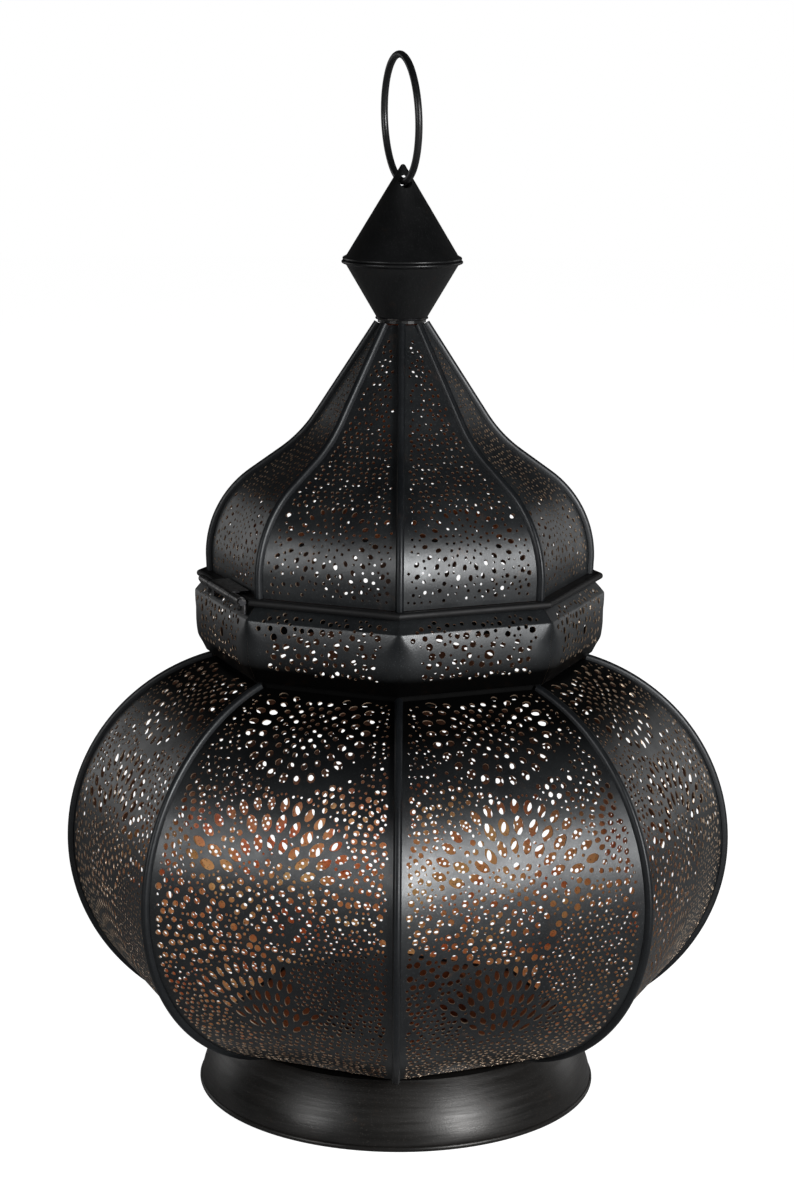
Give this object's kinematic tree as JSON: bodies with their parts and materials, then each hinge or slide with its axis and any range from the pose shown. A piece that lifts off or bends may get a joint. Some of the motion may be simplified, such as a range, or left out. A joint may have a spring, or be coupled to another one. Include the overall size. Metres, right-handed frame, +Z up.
{
  "type": "moroccan lantern",
  "caption": "Eight-sided pierced metal lantern: bulbous body on a round foot, hinged onion dome, double-cone finial and hanging ring.",
  "frame": {"origin": "centre of the foot's underside, on the table", "axes": "+Z up along the lantern's axis, -Y is the front, where one of the body's seams faces, +X to the right seen from the front"},
  "size_m": [0.194, 0.194, 0.2998],
  "materials": {
    "pierced_sheet": "satin black, copper coloured inside",
    "seam_strip": "satin black",
    "flat_rings": "satin black",
    "foot_coat": "satin black",
    "finial_coat": "satin black",
    "ring_wire": "satin black",
    "copper_inside": "satin copper colour",
    "hinge_steel": "worn black over steel",
    "latch_steel": "worn black over steel"
  },
  "bodies": {
    "body": {"body_panel_1": "pierced_sheet", "body_panel_2": "pierced_sheet", "body_panel_3": "pierced_sheet", "body_panel_4": "pierced_sheet", "body_panel_5": "pierced_sheet", "body_panel_6": "pierced_sheet", "body_panel_7": "pierced_sheet", "body_panel_8": "pierced_sheet", "body_rib_1": "seam_strip", "body_rib_2": "seam_strip", "body_rib_3": "seam_strip", "body_rib_4": "seam_strip", "body_rib_5": "seam_strip", "body_rib_6": "seam_strip", "body_rib_7": "seam_strip", "body_rib_8": "seam_strip", "collar_panel_1": "pierced_sheet", "collar_panel_2": "pierced_sheet", "collar_panel_3": "pierced_sheet", "collar_panel_4": "pierced_sheet", "collar_panel_5": "pierced_sheet", "collar_panel_6": "pierced_sheet", "collar_panel_7": "pierced_sheet", "collar_panel_8": "pierced_sheet", "neck_ring": "flat_rings", "foot_ring": "foot_coat", "base_plate": "copper_inside", "tealight_cup": "copper_inside", "hinge_knuckle_front": "hinge_steel", "hinge_knuckle_back": "hinge_steel", "hinge_pin": "hinge_steel", "hinge_rivet_front": "hinge_steel", "hinge_rivet_back": "hinge_steel", "latch_stud": "latch_steel"},
    "lid": {"dome_panel_1": "pierced_sheet", "dome_panel_2": "pierced_sheet", "dome_panel_3": "pierced_sheet", "dome_panel_4": "pierced_sheet", "dome_panel_5": "pierced_sheet", "dome_panel_6": "pierced_sheet", "dome_panel_7": "pierced_sheet", "dome_panel_8": "pierced_sheet", "dome_rib_1": "seam_strip", "dome_rib_2": "seam_strip", "dome_rib_3": "seam_strip", "dome_rib_4": "seam_strip", "dome_rib_5": "seam_strip", "dome_rib_6": "seam_strip", "dome_rib_7": "seam_strip", "dome_rib_8": "seam_strip", "lid_rim": "flat_rings", "dome_cap": "finial_coat", "finial_lower_cone": "finial_coat", "finial_upper_cone": "finial_coat", "hinge_leaf_lid": "hinge_steel", "latch_catch": "latch_steel", "catch_rivet": "latch_steel"},
    "ring": {"hanging_ring": "ring_wire"},
    "hook": {"latch_hook": "latch_steel"}
  },
  "joints": [
    {"name": "lid_hinge", "type": "hinge", "parent": "body", "child": "lid", "pos_m": [-0.04945, -0.0259, 0.1527], "axis": [0.3827, -0.9239, 0], "range_deg": [0, 110]},
    {"name": "ring_swing", "type": "hinge", "parent": "lid", "child": "ring", "pos_m": [0, 0, 0.2641], "axis": [0.2756, -0.9613, 0], "range_deg": [-130, 130]},
    {"name": "hook_turn", "type": "hinge", "parent": "body", "child": "hook", "pos_m": [0.05188, 0.02149, 0.141], "axis": [0.9239, 0.3827, 0], "range_deg": [-75, 30]}
  ]
}
